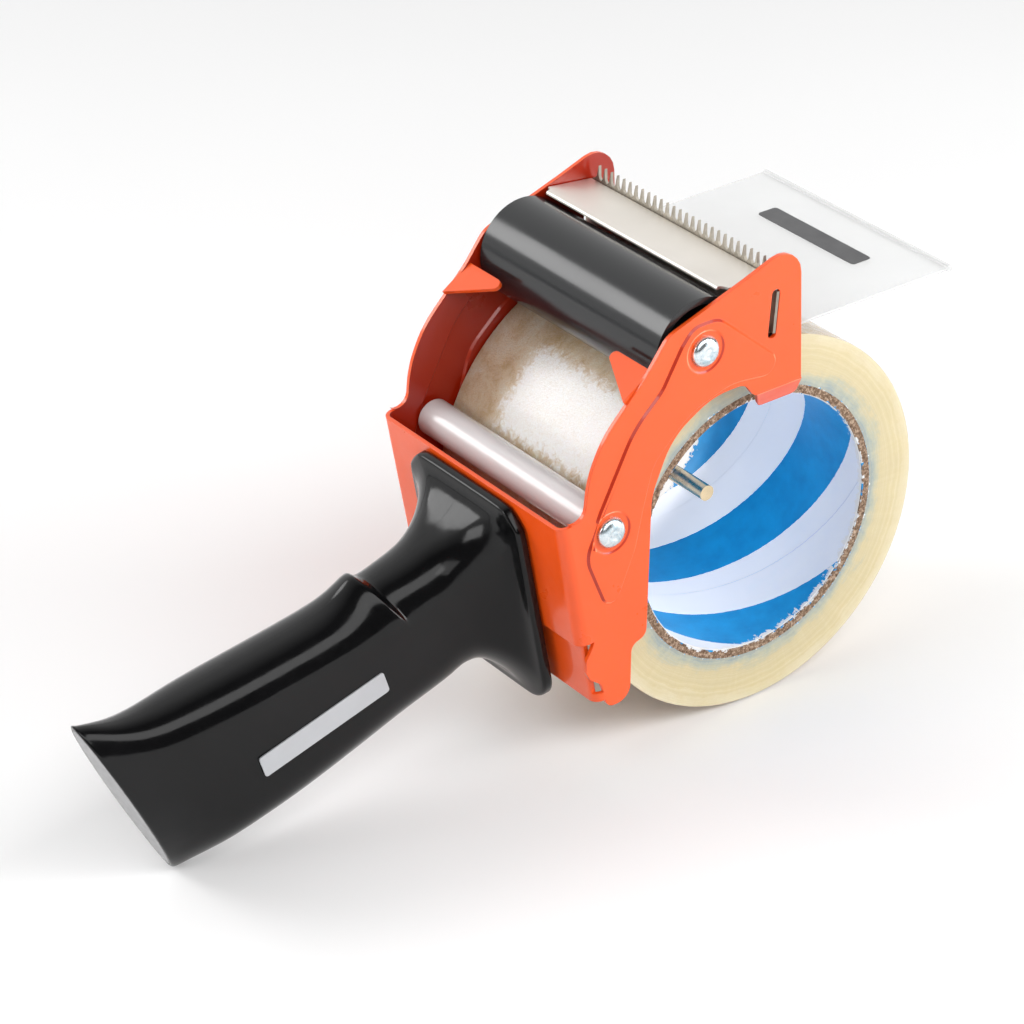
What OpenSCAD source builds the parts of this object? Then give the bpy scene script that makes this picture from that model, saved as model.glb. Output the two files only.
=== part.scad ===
// Hand-held carton sealing tape dispenser for wide tape: a bent steel frame, a moulded handle,
// a pressing roller, a guide roller, a serrated blade, a clear wiping flap and a tape roll on
// a hub. It stands on the roll and on the lower corner of the handle's end, as when put down.
// Sizes are millimetres. +X is from handle to blade, +Y across the tape, +Z up. The working
// datum is the roll's axis at the middle of the frame; at_origin() moves it so the origin is
// on the floor, under the middle of the whole object.

/* [Tape roll] */
// diameter inside the cardboard core
core_id = 76.2; // [75:0.1:77]
// thickness of the cardboard core
core_wall = 2.4; // [1.5:0.1:3]
// thickness of the printed paper that lines the core
liner_t = 0.3; // [0.2:0.1:0.6]
// diameter of the wound tape
roll_od = 110; // [104:0.5:110]
// width of the tape
roll_w = 70; // [60:0.5:70]
// middle of the roll to the far side of the frame's middle
roll_off = 4.3; // [3.5:0.1:4.4]

/* [Frame] */
// width over both side plates
frame_w = 82; // [82:0.5:86]
// thickness of the sheet steel
sheet = 1.2; // [1:0.1:1.5]
// how far the stiffening panel stands out of each side plate
emboss = 0.8; // [0.5:0.1:1]
// outer radius of the bend between rear wall and side plate
bend_r = 3.2; // [2.5:0.1:4]
// length of the rear wall down its slope
wall_len = 37.8; // [34:0.2:39]
// start and end of the lower tie down the same slope; it starts behind the wall's lower edge
tie_from = 36.2; // [36:0.2:37]
tie_to = 57.4; // [56:0.2:58]
// distance of the tie's outer face behind the wall's outer face
tie_in = 1.9; // [1.8:0.1:2.4]
// how far each guide tab reaches inwards
tab_reach = 20; // [12:0.5:22]
// length of the lip under each front corner
lip_len = 7.2; // [4:0.2:8]
// angle of the lip from the plate
lip_tilt = 33; // [15:1:36]

/* [Rollers] */
// radius of the pressing roller
press_r = 14.2; // [13:0.1:14.3]
// wall of the pressing roller
press_wall = 2; // [1.5:0.1:3]
// radius of the guide roller
guide_r = 5.3; // [4.5:0.1:5.4]
// wall of the guide roller
guide_wall = 1.1; // [0.8:0.1:1.4]
// radius of both axles
axle_r = 2.5; // [2:0.1:2.6]
// radial clearance of what turns on an axle
run = 0.06; // [0.03:0.01:0.1]
// end clearance between a turning part and the frame
end_gap = 0.5; // [0.3:0.1:1]
// radius of the axles' domed heads
head_r = 4.3; // [3.8:0.1:4.6]

/* [Blade and flap] */
// width of the flat plate behind the blade
plate_u = 17.4; // [14:0.2:18]
// thickness of the blade and of the plate
blade_t = 0.9; // [0.7:0.1:1]
// height of the blade below the plate
blade_h = 15.8; // [12:0.2:16]
// distance from tooth to tooth
tooth_pitch = 2.75; // [2.5:0.05:3.5]
// height of a tooth
tooth_h = 4.3; // [3:0.1:5]
// forward tilt of the blade
blade_tilt = 7; // [4:0.5:9]
// length of the flap
flap_len = 55; // [45:1:58]
// thickness of the flap
flap_t = 0.8; // [0.6:0.1:1]

/* [Spindle and hub] */
// radius of the spindle's free end
pin_r = 2.3; // [2:0.1:2.8]
// radius of the spindle under the hub
journal_r = 3.5; // [3:0.1:4]
// spindle tip, measured from the frame's middle
pin_tip = -9.8; // [-15:0.1:-5]
// thickness of the hub's disc inside the core
hub_t = 4; // [3:0.5:6]
// length of the hub's boss along the spindle
boss_len = 14; // [10:0.5:18]

/* [Handle] */
// length and depth of the handle's flange on the rear wall
flange_len = 64; // [60:1:66]
flange_w = 50; // [44:1:54]
flange_t = 3.4; // [2.5:0.1:4]
// half thickness of the grip at its thickest
grip_half = 12; // [10:0.5:14]
// size of the blank label
label_len = 41; // [30:1:42]
label_h = 6.6; // [5:0.2:7]

/* [Hidden] */
$fn = 64;
slack = 0.1;
half_w = frame_w / 2;
inner = half_w - sheet;
roll_r = roll_od / 2;
core_or = core_id / 2 + core_wall;
press_x = -24.8;
press_z = 65.3;
guide_x = -56.3;
guide_z = 22.8;
wall_x = -72.3;
wall_z = 28.2;
wall_lean = 8.2;
blade_x = -0.3;
blade_z = 77.9;
flap_x = 5.6;
flap_z = 61.7;
flap_drop = 0.6;
flap_half = inner - end_gap;
blade_half = inner - end_gap;
boss_face = roll_off + roll_w / 2 - boss_len;
butt_top = [-196.2, -1.2];
butt_low = [-172, -roll_r];
butt_half = 9;
x_back = butt_top[0];
x_front = flap_x + flap_len + 0.8;
centre_x = -(x_back + x_front) / 2;

orange = [0.95, 0.36, 0.16];
black = [0.05, 0.05, 0.06];
nickel = [0.82, 0.80, 0.76];
zinc = [0.75, 0.79, 0.82];

module at_origin() {
  translate([centre_x, 0, roll_r]) children();
}

// stands a drawing of (x, z) points up across the frame, from y0 for a thickness t
module across(y0, t) {
  translate([0, y0 + t, 0]) rotate([90, 0, 0]) linear_extrude(t) children();
}

// a round bar along Y at (x, z) from y0 to y1
module bar(x, z, y0, y1, r, r2 = 0) {
  translate([x, y0, z]) rotate([-90, 0, 0]) cylinder(h = y1 - y0, r1 = r, r2 = r2 > 0 ? r2 : r);
}

// mirrors its children to both sides of the frame
module both_sides() {
  children();
  mirror([0, 1, 0]) children();
}

// polygon with a rounded corner at every [x, z, radius]
function unit(v) = v / norm(v);
function corner(a, b, c, r, n) =
  let (u = unit([a[0] - b[0], a[1] - b[1]]), v = unit([c[0] - b[0], c[1] - b[1]]),
       half = acos(max(-1, min(1, u * v))) / 2,
       reach = r / tan(half),
       m = unit(u + v),
       o = [b[0], b[1]] + m * (r / sin(half)),
       p = [b[0], b[1]] + u * reach - o,
       q = [b[0], b[1]] + v * reach - o,
       turn = atan2(p[0] * q[1] - p[1] * q[0], p * q))
  [for (i = [0:n]) let (t = turn * i / n)
    o + [p[0] * cos(t) - p[1] * sin(t), p[0] * sin(t) + p[1] * cos(t)]];
function rounded(pts, n = 6) =
  [for (i = [0:len(pts) - 1])
    let (b = pts[i], a = pts[(i + len(pts) - 1) % len(pts)], c = pts[(i + 1) % len(pts)])
    each (b[2] <= 0 ? [[b[0], b[1]]] : corner(a, b, c, b[2], n))];

// moves every [x, z, radius] corner of a clockwise outline inwards by d
function inset(pts, d) =
  [for (i = [0:len(pts) - 1])
    let (b = pts[i], a = pts[(i + len(pts) - 1) % len(pts)], c = pts[(i + 1) % len(pts)],
         u = unit([b[0] - a[0], b[1] - a[1]]), v = unit([c[0] - b[0], c[1] - b[1]]),
         nu = [u[1], -u[0]], nv = [v[1], -v[0]],
         m = (nu + nv) * d / (1 + nu * nv),
         outward = u[0] * v[1] - u[1] * v[0] < 0)
    [b[0] + m[0], b[1] + m[1], max(0.4, b[2] + (outward ? -d : d))]];

// ---- frame ----

// rim shared by both side plates: rear bend, curve round the tape, notch for the roller, tip
rim = [
  [-67.4, 28.4, 0], [-64.4, 27, 4], [-62.8, 40, 30], [-57.5, 50.5, 30],
  [-43, 64.6, 15], [-36.3, 73, 8], [-11, 81.2, 40], [7.5, 87.7, 7]
];

// rear edge of both side plates, from the toe past the tie's bend and its relief to the wall
rear_edge = [
  [-51, -30.6, 4.6], [-60.8, -30.6, 2.7], [-59.3, -27.6, 0], [-59.6, -25.4, 0], [-60.4, -22.6, 1],
  [-63.9, -19.9, 1.5], [-65.1, -17.6, 1.5], [-65, -13.8, 2], [-63, -10.4, 1.2],
  [-62.3, -8.6, 0], [-62.4, -5, 0]
];

// near plate: open arch so that the core can be reached, with a short foot in front
near_outline = rounded(concat(rim, [
  [7.5, 46.2, 0], [-8.2, 46.2, 3], [-11.5, 50.9, 4], [-22, 50.9, 20], [-35.5, 43.5, 20],
  [-42.6, 28.5, 20], [-45.2, -13, 3], [-50.2, -14.4, 3]], rear_edge));

// far plate: carries the spindle, so it runs on behind the middle of the roll
far_outline = rounded(concat(rim, [
  [7.5, 40, 20], [19, 12, 20], [17, -19, 16], [-14, -21, 20], [-49, -15, 14]], rear_edge));

// outline of the raised panel that stiffens a side plate
panel_corners = [
  [-31.9, 68.6, 6], [-28.2, 72.8, 5], [-20.3, 72.8, 6], [-1.4, 55.6, 2.4], [-3.2, 51.6, 3],
  [-16, 53.4, 20], [-30, 49.2, 20], [-42.4, 38.4, 14], [-46.4, 25, 14], [-49, 15, 20],
  [-56.9, -1.8, 2.4], [-63.8, 17, 8], [-59.6, 28.6, 30], [-47.8, 49.8, 30], [-38.5, 58, 12]
];

// the same panel, smaller by d towards its middle line
module panel(d) {
  polygon(rounded(inset(panel_corners, d)));
}

// a round dish pressed into the panel under an axle head
dish_r = 6.1;
dish_d = 0.6;

module axle_dish(x, z) {
  bar(x, z, -half_w - emboss - slack, -half_w - emboss + dish_d, dish_r + 0.6, dish_r - 0.8);
}

module axle_dish_back(x, z) {
  bar(x, z, -half_w - emboss + sheet, -half_w - emboss + dish_d + sheet, dish_r + 0.5);
}

slot_w = 2.7;
slot_u = -0.2;
slot_lo = -16.6;
slot_hi = -2.6;

// places children in the blade's own frame: u along the plate, w up the blade
module blade_frame() {
  translate([blade_x, 0, blade_z]) rotate([0, blade_tilt, 0]) children();
}

module blade_slot() {
  deep = sheet + 2;
  blade_frame() {
    for (w = [slot_lo + slot_w / 2, slot_hi - slot_w / 2])
      bar(slot_u, w, -half_w - 1, -half_w - 1 + deep, slot_w / 2);
    translate([slot_u - slot_w / 2, -half_w - 1, slot_lo + slot_w / 2])
      cube([slot_w, deep, slot_hi - slot_lo - slot_w]);
  }
}

module lip() {
  lip_x0 = -7.6;
  lip_x1 = 7.6;
  translate([0, -half_w, 46.2]) rotate([lip_tilt, 0, 0])
    translate([0, 0, -lip_len]) rotate([90, 0, 0]) translate([0, 0, -sheet]) linear_extrude(sheet)
      polygon(rounded([[lip_x0, lip_len + 0.4, 0], [lip_x1, lip_len + 0.4, 0],
                       [lip_x1 + 1.2, 0, 1.5], [lip_x0 + 3.6, 0, 2.4]]));
}

// triangular guide tab folded inwards from the rim beside the pressing roller
module guide_tab() {
  tab_x = -41.6;
  tab_z = 64.9;
  tab_root = 11;
  tab_turn = 33;
  translate([tab_x, -inner - sheet / 2, tab_z]) rotate([0, -tab_turn, 0])
    translate([-tab_root, 0, -sheet]) linear_extrude(sheet)
      polygon(rounded([[0, 0, 0], [tab_root, 0, 0], [tab_root, tab_reach, 1.6]], 5));
}

module side_plate(outline) {
  difference() {
    union() {
      across(-half_w, sheet) polygon(outline);
      across(-half_w - emboss / 2, sheet) panel(0);
      across(-half_w - emboss, sheet) panel(0.6);
      axle_dish_back(press_x, press_z);
      axle_dish_back(guide_x, guide_z);
      guide_tab();
    }
    across(-inner - emboss / 2, 2) panel(1.2);
    across(-inner - emboss, 2) panel(1.8);
    axle_dish(press_x, press_z);
    axle_dish(guide_x, guide_z);
    blade_slot();
  }
}

// places children on the rear wall: x down the wall's slope, z forward of its outer face
module on_wall() {
  translate([wall_x, 0, wall_z]) rotate([0, 90 - wall_lean, 0]) children();
}

// rear wall, bent forward into both side plates
module rear_wall() {
  on_wall() linear_extrude_x(wall_len) u_section();
}

// lower tie: joined to the plates by a bend at its foot only, free of them above it
module lower_tie() {
  bend_from = 54.8;
  free_y = inner - 0.7;
  on_wall() difference() {
    translate([tie_from, 0, tie_in]) linear_extrude_x(tie_to - tie_from) u_section();
    both_sides() translate([tie_from - 1, free_y, 0]) cube([bend_from - tie_from + 1, 4, 12]);
  }
}

module linear_extrude_x(len) {
  rotate([90, 0, 90]) linear_extrude(len) children();
}

// section through the wall: a shallow U, y across and z forward; its arms end inside the plates
module u_section() {
  arm = 7;
  tuck = 0.03;
  out = half_w - tuck;
  in = inner + tuck;
  difference() {
    union() {
      translate([-out, bend_r]) square([2 * out, arm - bend_r]);
      translate([-out + bend_r, 0]) square([2 * (out - bend_r), bend_r + 1]);
      for (s = [-1, 1]) translate([s * (out - bend_r), bend_r]) circle(bend_r);
    }
    translate([-in, bend_r]) square([2 * in, arm]);
    translate([-out + bend_r, sheet]) square([2 * (out - bend_r), bend_r]);
    for (s = [-1, 1]) translate([s * (out - bend_r), bend_r]) circle(bend_r - out + in);
  }
}

screw_s = [11, 31];
screw_y = 13;
screw_r = 1.6;
screw_deep = 6;

module screw_places() {
  for (s = screw_s)
    for (y = [-screw_y, screw_y])
      on_wall() translate([s, y, 0]) children();
}

module frame() {
  color(orange) at_origin() difference() {
    union() {
      side_plate(near_outline);
      mirror([0, 1, 0]) side_plate(far_outline);
      rear_wall();
      lower_tie();
      lip();
    }
    for (p = [[press_x, press_z], [guide_x, guide_z]])
      bar(p[0], p[1], -half_w - 5, half_w + 5, axle_r + run);
    bar(0, 0, inner - 1, half_w + 1, pin_r);
    screw_places() translate([0, 0, -1]) cylinder(h = 4, r = screw_r + 0.15);
  }
}

// ---- rollers and their axles ----

// steel axle through both plates, with a domed head seated in each dish
module axle(x, z) {
  seat = half_w + emboss - dish_d;
  rim_h = 0.5;
  dome = 1.5;
  bar(x, z, -seat, seat, axle_r);
  both_sides() translate([x, -seat, z]) rotate([90, 0, 0]) {
    cylinder(h = rim_h, r = head_r);
    translate([0, 0, rim_h]) cylinder(h = dome * 0.6, r1 = head_r, r2 = head_r * 0.8);
    translate([0, 0, rim_h + dome * 0.6]) cylinder(h = dome * 0.4, r1 = head_r * 0.8, r2 = head_r * 0.4);
  }
}

module press_axle() {
  color(zinc) at_origin() axle(press_x, press_z);
}

module guide_axle() {
  color(zinc) at_origin() axle(guide_x, guide_z);
}

roller_half = inner - end_gap - 0.4;

// a plain tube along Y
module tube(x, z, half, r_out, r_in) {
  difference() {
    bar(x, z, -half, half, r_out);
    bar(x, z, -half - 1, half + 1, r_in);
  }
}

module press_roller() {
  color(black) at_origin() tube(press_x, press_z, roller_half, press_r, press_r - press_wall);
}

// a webbed bush near each end of the roller, turning on the axle
module press_bushes() {
  recess = 9;
  web = 2.5;
  boss_r = 5;
  boss = 12;
  color([0.12, 0.12, 0.13]) at_origin() both_sides() difference() {
    union() {
      bar(press_x, press_z, -roller_half + recess, -roller_half + recess + web, press_r - press_wall);
      bar(press_x, press_z, -roller_half + recess - 4, -roller_half + recess + boss - 4, boss_r);
    }
    bar(press_x, press_z, -half_w, 0, axle_r + run);
  }
}

// clear plastic tube with a reduced bore at each end that runs on its axle
module guide_roller() {
  collar = 6;
  half = inner - end_gap - 0.3;
  color([0.85, 0.86, 0.88, 0.6]) at_origin() difference() {
    bar(guide_x, guide_z, -half, half, guide_r);
    bar(guide_x, guide_z, -half - 1, half + 1, axle_r + run);
    bar(guide_x, guide_z, -half + collar, half - collar, guide_r - guide_wall);
  }
}

// ---- blade, plate behind it and flap ----

rivet_ys = [-26, 0, 26];
rivet_w = -9;
rivet_r = 1.2;
back_t = 0.7;
back_gap = 0.05;
clip_t = 0.9;

module rivet_holes() {
  for (y = rivet_ys)
    blade_frame() translate([-3, y, rivet_w]) rotate([0, 90, 0]) cylinder(h = 8, r = rivet_r);
}

// left half of a concave-sided tooth that stands at y = c, then its point and right flank
function tooth(c) = [[c - tooth_pitch / 2, 0.1], [c - 0.42, 1.3], [c, tooth_h], [c + 0.42, 1.3]];

// serrated strip, with a tab at each end that goes through the slot in the side plate
module blade() {
  count = floor(2 * blade_half / tooth_pitch);
  edge = count * tooth_pitch / 2;
  tab_lo = 0.6 - blade_h;
  tab_hi = slot_hi - 0.8;
  teeth = [for (i = [0:count - 1]) each tooth(-edge + (i + 0.5) * tooth_pitch)];
  left = [[-blade_half, -blade_h], [-blade_half, tab_lo], [-half_w, tab_lo], [-half_w, tab_hi],
          [-blade_half, tab_hi], [-blade_half, 0.1]];
  right = [[edge, 0.1], [blade_half, 0.1], [blade_half, tab_hi], [half_w, tab_hi],
           [half_w, tab_lo], [blade_half, tab_lo], [blade_half, -blade_h]];
  color(nickel) at_origin() difference() {
    blade_frame() rotate([90, 0, 90]) linear_extrude(blade_t) polygon(concat(left, teeth, right));
    rivet_holes();
  }
}

// folded plate: flat top, short fold down at the back and a long fold behind the blade
module blade_plate() {
  fold = 1;
  front = 13.5;
  notch = 2.2;
  color(nickel) at_origin() difference() {
    blade_frame() across(-blade_half, 2 * blade_half)
      polygon(rounded([[-plate_u, -fold, 0], [-plate_u, 0, 0.7], [-back_gap, 0, 0.6],
                       [-back_gap, -front, 0], [-back_gap - back_t, -front, 0],
                       [-back_gap - back_t, -back_t, 0.3], [-plate_u + 0.7, -back_t, 0.2],
                       [-plate_u + 0.7, -fold, 0]]));
    rivet_holes();
    blade_frame() both_sides() translate([-plate_u, -blade_half, -3]) cylinder(h = 5, r = notch);
  }
}

// rivets through plate, blade and clip
module blade_rivets() {
  grip = back_gap + back_t + blade_t + clip_t;
  color(zinc) at_origin() for (y = rivet_ys)
    blade_frame() translate([-back_gap - back_t, y, rivet_w]) rotate([0, 90, 0]) {
      cylinder(h = grip, r = rivet_r);
      translate([0, 0, -0.8]) cylinder(h = 0.8, r1 = 1.4, r2 = 2);
      translate([0, 0, grip]) cylinder(h = 0.9, r1 = 2.1, r2 = 1.3);
    }
}

// channel riveted to the foot of the blade: two jaws hold the flap's root
module flap_clip() {
  jaw = 1.8;
  jaw_t = 0.7;
  reach = 0.2;
  back = 1.2;
  w = flap_half - 1;
  low = flap_z - jaw / 2 - jaw_t;
  high = flap_z + jaw / 2 + jaw_t;
  color(black) at_origin() difference() {
    union() {
      blade_frame() translate([blade_t, -w, -17]) cube([clip_t, 2 * w, 13.5]);
      across(-w, 2 * w)
        polygon([[-4, low], [flap_x + reach, low], [flap_x + reach, low + jaw_t],
                 [flap_x - back, low + jaw_t], [flap_x - back, high - jaw_t],
                 [flap_x + reach, high - jaw_t], [flap_x + reach, high], [-4, high]]);
    }
    blade_frame() translate([-8, -half_w, -30]) cube([8 + blade_t, frame_w, 40]);
    rivet_holes();
  }
}

// clear sheet that wipes the tape down; its rounded root sits in the clip
module flap() {
  sheet_w = 2 * flap_half;
  root_r = flap_t / 2 + 0.1;
  color([0.9, 0.92, 0.93, 0.4]) at_origin() translate([flap_x, 0, flap_z]) rotate([0, flap_drop, 0])
    across(-flap_half, sheet_w) union() {
      circle(root_r);
      translate([0, -flap_t / 2]) square([flap_len, flap_t]);
    }
}

// thicker bead along the flap's free edge
module flap_lip() {
  bead = 0.75;
  color([0.9, 0.92, 0.93, 0.5]) at_origin() translate([flap_x, 0, flap_z]) rotate([0, flap_drop, 0])
    difference() {
      bar(flap_len - 0.2, 0, -flap_half, flap_half, bead + 0.25);
      translate([0, -flap_half - 1, -flap_t / 2]) cube([flap_len, 2 * flap_half + 2, flap_t]);
    }
}

// blank printed panel on top of the flap
module flap_print() {
  print_x = 35.4;
  print_y = -1.6;
  print_t = 0.15;
  color([0.3, 0.31, 0.33]) at_origin() translate([flap_x, 0, flap_z]) rotate([0, flap_drop, 0])
    translate([print_x, print_y - label_len / 2, flap_t / 2]) linear_extrude(print_t)
      polygon(rounded([[0, 0, 1], [label_h, 0, 1], [label_h, label_len, 1], [0, label_len, 1]], 4));
}

// ---- spindle, hub and tape roll ----

journal_over = 1.5;

// stepped steel spindle, riveted into the far side plate
module spindle() {
  tail_r = 5.5;
  tail_h = 1.2;
  color([0.72, 0.70, 0.66]) at_origin() {
    bar(0, 0, pin_tip, boss_face - journal_over, pin_r);
    bar(0, 0, boss_face - journal_over, inner, journal_r);
    bar(0, 0, inner, half_w, pin_r);
    bar(0, 0, half_w, half_w + tail_h, tail_r, tail_r - 1);
  }
}

// moulded hub in the far end of the core: boss, gussets, disc, and fins that grip the core
module hub() {
  boss_r = 8;
  seat = roll_off + roll_w / 2;
  disc_r = 31;
  grip_r = core_id / 2 - liner_t - 0.1;
  face = seat - hub_t;
  ribs = 6;
  rib_t = 1.6;
  fins = 4;
  fin_t = 3.2;
  fin_turn = -5;
  color([0.16, 0.16, 0.17]) at_origin() difference() {
    union() {
      bar(0, 0, face, seat, disc_r);
      bar(0, 0, boss_face, seat, boss_r);
      for (i = [0:ribs - 1])
        rotate([0, i * 360 / ribs, 0]) translate([0, 0, -rib_t / 2]) linear_extrude(rib_t)
          polygon([[boss_r - 2, boss_face + 3], [boss_r, boss_face + 3], [boss_r + 9, face + 0.5],
                   [boss_r - 2, face + 0.5]]);
      for (i = [0:fins - 1])
        rotate([0, fin_turn + i * 360 / fins, 0]) translate([0, 0, -fin_t / 2])
          linear_extrude(fin_t)
            polygon([[disc_r - 5, face - 3], [grip_r - 1, face - 3], [grip_r, face - 2],
                     [grip_r, seat - 0.4], [disc_r - 5, seat - 0.4]]);
    }
    difference() {
      bar(0, 0, face - 5, face + 1, disc_r - 6);
      bar(0, 0, face - 6, face + 2, disc_r - 14);
    }
    bar(0, 0, boss_face - 1, half_w, journal_r + run);
  }
}

module hub_clip() {
  clip_r = 6.5;
  color(zinc) at_origin() difference() {
    bar(0, 0, boss_face - journal_over, boss_face - end_gap, clip_r);
    bar(0, 0, boss_face - 3, boss_face, journal_r);
  }
}

module ring_y(y0, y1, r_out, r_in) {
  difference() {
    bar(0, 0, y0, y1, r_out);
    bar(0, 0, y0 - 1, y1 + 1, r_in);
  }
}

roll_y0 = roll_off - roll_w / 2;
roll_y1 = roll_off + roll_w / 2;

module core() {
  color([0.55, 0.42, 0.30]) at_origin() ring_y(roll_y0, roll_y1, core_or, core_id / 2);
}

module core_liner() {
  color([0.1, 0.55, 0.85]) at_origin() ring_y(roll_y0 + 0.4, roll_y1, core_id / 2, core_id / 2 - liner_t);
}

module tape() {
  color([0.93, 0.88, 0.72]) at_origin() ring_y(roll_y0, roll_y1, roll_r, core_or);
}

// ---- handle ----

// places a flat section across the handle: x down from its top point, z towards the frame
module across_handle(top, low) {
  lean = atan2(low[0] - top[0], top[1] - low[1]);
  translate([top[0], 0, top[1]]) rotate([0, 90 - lean, 0]) children();
}

// oval section with flat sides
module grip_section(top, low, half) {
  long = norm(low - top);
  r = half * 0.98;
  across_handle(top, low) linear_extrude(0.2)
    polygon(rounded([[0, -half, r], [long, -half, r], [long, half, r], [0, half, r]], 6));
}

// pointed oval, long by twice half, shrunk by d all round
function lens(long, half, d) =
  [for (i = [0:47]) let (t = i * 7.5, c = cos(t), sn = sin(t))
    [long / 2 + (long / 2 - 1.6 * d) * sn, (half - d) * sign(c) * pow(abs(c), 1.12)]];

butt_len = norm(butt_low - butt_top);
cap_t = 2;
cap_rim = 1.2;

module butt_section() {
  across_handle(butt_top, butt_low) linear_extrude(0.2) polygon(lens(butt_len, butt_half, 0));
}

// closes the handle's open end
module butt_cap() {
  color([0.78, 0.78, 0.79]) at_origin() across_handle(butt_top, butt_low)
    linear_extrude(cap_t) polygon(lens(butt_len, butt_half, cap_rim));
}

// flange against the rear wall, drawn with x down the wall and z forward of it
module flange_shape() {
  cut = 6;
  w = flange_w / 2;
  polygon(rounded([[1, -w + cut, 1], [1 + cut, -w, 1], [flange_len, -w, 9], [flange_len, w, 9],
                   [1 + cut, w, 1], [1, w - cut, 1]]));
}

module handle() {
  tail_a = [-182, -4.8];
  tail_b = [-160, -51.6];
  grip_a = [-162, -2.6];
  grip_b = [-143.4, -47];
  neck_a = [-100, 8.5];
  neck_b = [-86, -28];
  root_a = [-90, 12];
  root_b = [-78, -26.6];
  color(black) at_origin() difference() {
    union() {
      hull() {
        butt_section();
        grip_section(tail_a, tail_b, 10.5);
      }
      hull() {
        grip_section(tail_a, tail_b, 10.5);
        grip_section(grip_a, grip_b, grip_half);
      }
      hull() {
        grip_section(grip_a, grip_b, grip_half);
        grip_section(neck_a, neck_b, grip_half);
      }
      hull() {
        grip_section(neck_a, neck_b, grip_half);
        grip_section(root_a, root_b, grip_half + 1.5);
      }
      hull() {
        grip_section(root_a, root_b, grip_half + 1.5);
        on_wall() translate([0, 0, -flange_t]) linear_extrude(0.2)
          polygon(rounded([[4, -19, 8], [57, -19, 8], [57, 19, 8], [4, 19, 8]]));
      }
      thumb_stop();
      on_wall() translate([0, 0, -flange_t]) linear_extrude(flange_t) flange_shape();
    }
    across_handle(butt_top, butt_low) translate([0, 0, -1])
      linear_extrude(cap_t + 1) polygon(lens(butt_len, butt_half, cap_rim));
    cavity();
    screw_places() translate([0, 0, -screw_deep]) cylinder(h = screw_deep + 1, r = screw_r);
  }
}

// raised ridge that keeps the hand off the frame
module thumb_stop() {
  low_a = [-128, 3.4];
  low_b = [-119.4, -19];
  high_a = [-112.6, 9.8];
  high_b = [-103.2, -14.8];
  hull() {
    grip_section(low_a, low_b, grip_half - 0.2);
    grip_section(high_a, high_b, grip_half + 1);
  }
}

// hollow of the moulding, open at the butt
module cavity() {
  wide = 6.2;
  tall = 17;
  deep = 74;
  rise = 12;
  mid = (butt_top + butt_low) / 2;
  translate([mid[0], 0, mid[1]]) rotate([0, 90 - rise, 0])
    linear_extrude(deep) scale([tall, wide]) circle(1);
}

// blank plate on the near side of the grip
module handle_label() {
  mid = [-129.1, -21.7];
  slope = 15.5;
  thick = 0.4;
  color([0.62, 0.63, 0.64]) at_origin() translate([mid[0], 0, mid[1]]) rotate([0, -slope, 0])
    translate([-label_len / 2, 0, -label_h / 2]) across(-grip_half - thick, thick)
      polygon(rounded([[0, 0, 0.8], [label_len, 0, 0.8], [label_len, label_h, 0.8],
                       [0, label_h, 0.8]], 4));
}

module handle_screws() {
  pan_r = 3;
  pan_h = 1.7;
  slot = 0.9;
  color(zinc) at_origin() screw_places() difference() {
    union() {
      translate([0, 0, 0.4 - screw_deep]) cylinder(h = screw_deep + sheet, r = screw_r);
      translate([0, 0, sheet]) cylinder(h = pan_h, r1 = pan_r, r2 = pan_r - 0.6);
    }
    translate([-pan_r, -slot / 2, sheet + pan_h - 0.8]) cube([2 * pan_r, slot, 2]);
    translate([-slot / 2, -pan_r, sheet + pan_h - 0.8]) cube([slot, 2 * pan_r, 2]);
  }
}

frame();
handle();
butt_cap();
handle_label();
handle_screws();
press_axle();
press_roller();
press_bushes();
guide_axle();
guide_roller();
blade();
blade_plate();
blade_rivets();
flap_clip();
flap();
flap_lip();
flap_print();
spindle();
hub();
hub_clip();
core();
core_liner();
tape();
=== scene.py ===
import math

import bmesh
import bpy
from mathutils import Matrix, Vector


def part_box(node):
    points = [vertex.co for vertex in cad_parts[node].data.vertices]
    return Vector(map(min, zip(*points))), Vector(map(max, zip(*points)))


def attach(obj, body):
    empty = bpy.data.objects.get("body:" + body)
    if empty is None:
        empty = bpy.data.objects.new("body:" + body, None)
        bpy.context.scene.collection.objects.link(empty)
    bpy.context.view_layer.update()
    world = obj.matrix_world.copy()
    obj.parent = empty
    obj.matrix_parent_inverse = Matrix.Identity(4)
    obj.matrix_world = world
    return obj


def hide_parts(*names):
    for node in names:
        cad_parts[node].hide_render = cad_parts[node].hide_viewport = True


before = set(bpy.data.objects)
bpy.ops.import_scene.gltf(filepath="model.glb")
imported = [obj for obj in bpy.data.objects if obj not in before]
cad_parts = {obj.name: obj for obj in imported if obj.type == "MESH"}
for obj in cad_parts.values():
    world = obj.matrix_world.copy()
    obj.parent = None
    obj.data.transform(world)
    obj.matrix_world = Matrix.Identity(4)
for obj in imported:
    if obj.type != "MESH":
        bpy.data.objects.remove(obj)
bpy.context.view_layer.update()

scene = bpy.context.scene
MM = 0.001

# ---- the CAD's own datum: the roll's axis at the middle of the frame ----
lo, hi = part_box("tape")
AX = (lo.x + hi.x) / 2
AZ = (lo.z + hi.z) / 2
ROLL_NEAR = lo.y / MM
ROLL_FAR = hi.y / MM
ROLL_R = (hi.x - lo.x) / 2 / MM
CORE_R = (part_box("core")[1].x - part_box("core")[0].x) / 2 / MM
BORE_R = (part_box("core_liner")[1].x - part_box("core_liner")[0].x) / 2 / MM


def at(x, y, z):
    """A point given in mm from the roll's axis, in the row frame."""
    return Vector((AX + x * MM, y * MM, AZ + z * MM))


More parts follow.
